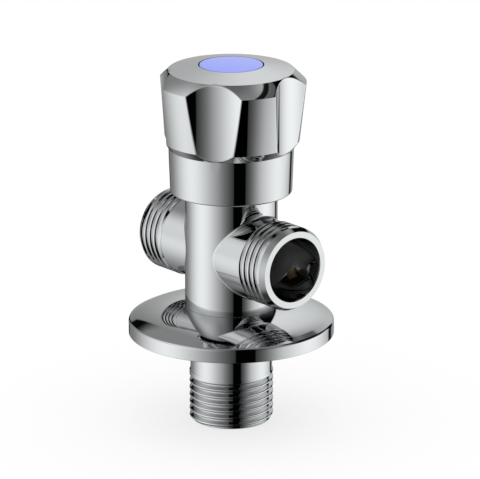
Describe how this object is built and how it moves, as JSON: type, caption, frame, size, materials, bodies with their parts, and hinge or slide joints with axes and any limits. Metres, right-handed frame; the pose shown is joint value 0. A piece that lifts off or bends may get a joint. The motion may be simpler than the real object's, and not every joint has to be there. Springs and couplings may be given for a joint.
{
  "type": "angle valve",
  "caption": "Chrome angle valve with a threaded inlet, two threaded outlets in line, a wall escutcheon and a lobed quarter-turn handwheel over a ceramic disc cartridge.",
  "frame": {"origin": "centre of the inlet spigot's end face, which is the bottom centre of the part's box", "axes": "+Z runs from the inlet up the spindle axis to the handwheel; +X runs out of one outlet and -X out of the other; the valve is closed at rest"},
  "size_m": [0.0512, 0.0512, 0.0914],
  "materials": {
    "chrome_plate": "polished chrome plate over brass or zinc",
    "brass": "turned brass, plain",
    "nickel_plate": "turned brass under thin grey nickel plate",
    "stainless": "bright stainless steel",
    "seal_rubber": "black nitrile rubber",
    "ceramic": "lapped alumina",
    "white_plastic": "moulded acetal",
    "index_blue": "glossy blue acrylic"
  },
  "bodies": {
    "body": {"valve_body": "chrome_plate", "cartridge_bonnet": "nickel_plate", "bonnet_o_ring": "seal_rubber", "seat_seal": "seal_rubber", "seal_stiffener": "white_plastic", "fixed_disc": "ceramic", "thrust_washer": "white_plastic"},
    "wall_cover": {"escutcheon": "chrome_plate"},
    "handle": {"spindle": "brass", "moving_disc": "ceramic", "spindle_o_ring_lower": "seal_rubber", "spindle_o_ring_upper": "seal_rubber", "stop_collar": "stainless", "circlip": "stainless", "handwheel": "chrome_plate", "spline_bush": "white_plastic", "lock_washer": "stainless", "handwheel_screw": "stainless", "index_button": "index_blue", "button_o_ring": "seal_rubber"}
  },
  "joints": [
    {"name": "handle_turn", "type": "hinge", "parent": "body", "child": "handle", "pos_m": [0, 0, 0.0625], "axis": [0, 0, 1], "range_deg": [0, 90]},
    {"name": "escutcheon_slide", "type": "slide", "parent": "body", "child": "wall_cover", "axis": [0, 0, -1], "range_m": [0, 0.022]}
  ]
}
